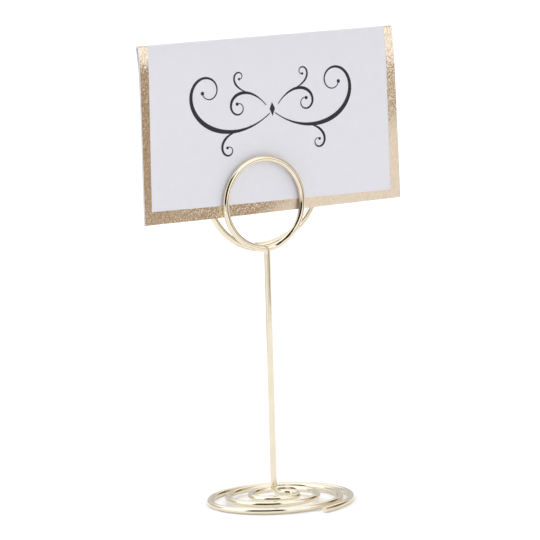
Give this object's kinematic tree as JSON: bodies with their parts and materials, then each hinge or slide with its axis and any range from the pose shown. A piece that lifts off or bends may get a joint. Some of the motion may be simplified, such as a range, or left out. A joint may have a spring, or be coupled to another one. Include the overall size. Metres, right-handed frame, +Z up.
{
  "type": "place card holder",
  "caption": "Bent wire place card holder: spiral foot, slim stem and a sprung ring clip that grips a folded card with a foil border.",
  "frame": {"origin": "on the table, in the middle of the box round the whole part", "axes": "+Z up, X along the card from left to right, the card's front faces -Y"},
  "size_m": [0.0854, 0.0454, 0.1338],
  "materials": {
    "gold_wire": "polished, pale gold plated",
    "card_stock": "smooth matt white card",
    "gold_foil": "hot stamped satin foil"
  },
  "bodies": {
    "holder": {"base_spiral": "gold_wire", "stem": "gold_wire", "clip_front_turn": "gold_wire"},
    "clip_spring": {"clip_back_turn": "gold_wire"},
    "card": {"card_front_leaf": "card_stock", "card_fold": "card_stock", "foil_border_front": "gold_foil"},
    "card_back": {"card_back_leaf": "card_stock"}
  },
  "joints": [
    {"name": "clip_flex", "type": "hinge", "parent": "holder", "child": "clip_spring", "pos_m": [-0.0027, 0.0025, 0.07305], "axis": [-1, 0, 0], "range_deg": [0, 8], "stiffness_Nm_per_rad": 1, "springref_deg": -2.86},
    {"name": "card_lift", "type": "slide", "parent": "holder", "child": "card", "axis": [-0.0063, 0, 1], "range_m": [0, 0.014]},
    {"name": "card_fold_swing", "type": "hinge", "parent": "card", "child": "card_back", "pos_m": [-0.00015, 0.0015, 0.1327], "axis": [1, 0, 0.0063], "range_deg": [0, 1.6]}
  ],
  "couplings": [
    {"joint": "card_fold_swing", "follows": "clip_flex", "ratio": 0.2}
  ]
}
